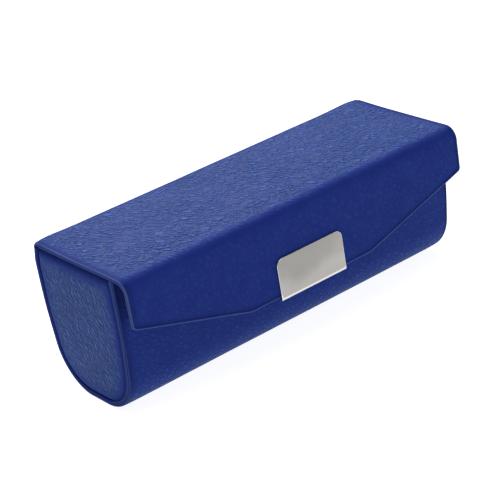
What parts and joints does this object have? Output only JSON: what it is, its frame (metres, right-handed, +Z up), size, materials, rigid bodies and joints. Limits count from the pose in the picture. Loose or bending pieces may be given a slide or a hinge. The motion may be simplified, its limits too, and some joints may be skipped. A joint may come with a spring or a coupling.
{
  "type": "eyeglasses case",
  "caption": "Hard eyeglasses case: leather-covered U trough with a flat hinged lid, a folding pointed front flap, a metal clasp plate and a magnetic catch.",
  "frame": {"origin": "middle of the closed case's length and depth, on the surface that it stands on", "axes": "+X along the case, -Y towards the flap and clasp, +Z up"},
  "size_m": [0.16, 0.0632, 0.0598],
  "materials": {
    "blue_leather": "satin",
    "greyboard": "matte",
    "lining": "matte",
    "foam": "matte",
    "clasp_metal": "satin",
    "catch_steel": "satin"
  },
  "bodies": {
    "case": {"body_board": "greyboard", "body_cover": "blue_leather", "body_lining": "lining", "front_keeper": "catch_steel", "left_end_board": "greyboard", "left_end_cover": "blue_leather", "left_end_lining": "lining", "right_end_board": "greyboard", "right_end_cover": "blue_leather", "right_end_lining": "lining", "rear_hinge_leather": "blue_leather", "rear_hinge_lining": "lining"},
    "lid": {"lid_board": "greyboard", "lid_padding": "foam", "lid_lining": "lining", "lid_cover": "blue_leather", "fold_leather": "blue_leather", "fold_lining": "lining"},
    "flap": {"flap_board": "greyboard", "flap_lining": "lining", "flap_cover": "blue_leather", "clasp_plate": "clasp_metal", "flap_magnets": "catch_steel", "magnet_pad": "foam"}
  },
  "joints": [
    {"name": "lid_hinge", "type": "hinge", "parent": "case", "child": "lid", "pos_m": [0, 0.0304, 0.058], "axis": [-1, 0, 0], "range_deg": [0, 110], "deforming": ["rear_hinge_leather", "rear_hinge_lining"]},
    {"name": "flap_fold", "type": "hinge", "parent": "lid", "child": "flap", "pos_m": [0, -0.0292, 0.0579], "axis": [-1, 0, 0], "range_deg": [0, 80], "deforming": ["fold_leather", "fold_lining"]}
  ]
}
